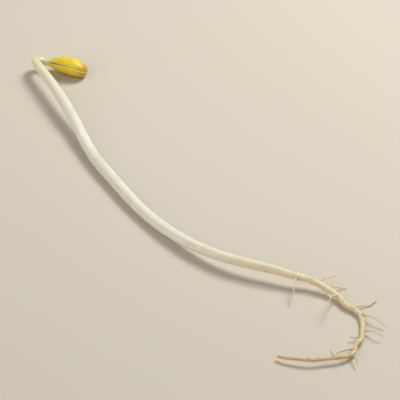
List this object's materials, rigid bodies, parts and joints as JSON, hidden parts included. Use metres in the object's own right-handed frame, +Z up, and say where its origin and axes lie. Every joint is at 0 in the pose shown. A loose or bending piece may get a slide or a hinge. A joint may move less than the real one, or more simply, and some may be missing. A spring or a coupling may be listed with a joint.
{
  "type": "soybean sprout",
  "caption": "Soybean sprout lying on its side: long white stem, hooked under a split yellow head, tapering into a curled root with fine side roots.",
  "frame": {"origin": "middle of the bounding box seen from above, on the surface that the sprout lies on", "axes": "+Z up from the surface, +Y along the sprout's longest extent towards the head, +X towards the side that the root curls to"},
  "size_m": [0.0716, 0.1022, 0.0043],
  "materials": {
    "stem": "wet, glossy, slightly see-through white plant flesh, cream to pale tan on the root",
    "seed_leaf": "satin golden yellow, greener along the margins",
    "bud": "soft pale yellow-green"
  },
  "bodies": {
    "root": {"stem_with_root": "stem", "seed_leaf_upper": "seed_leaf", "seed_leaf_lower": "seed_leaf", "shoot_bud": "bud"}
  },
  "joints": []
}
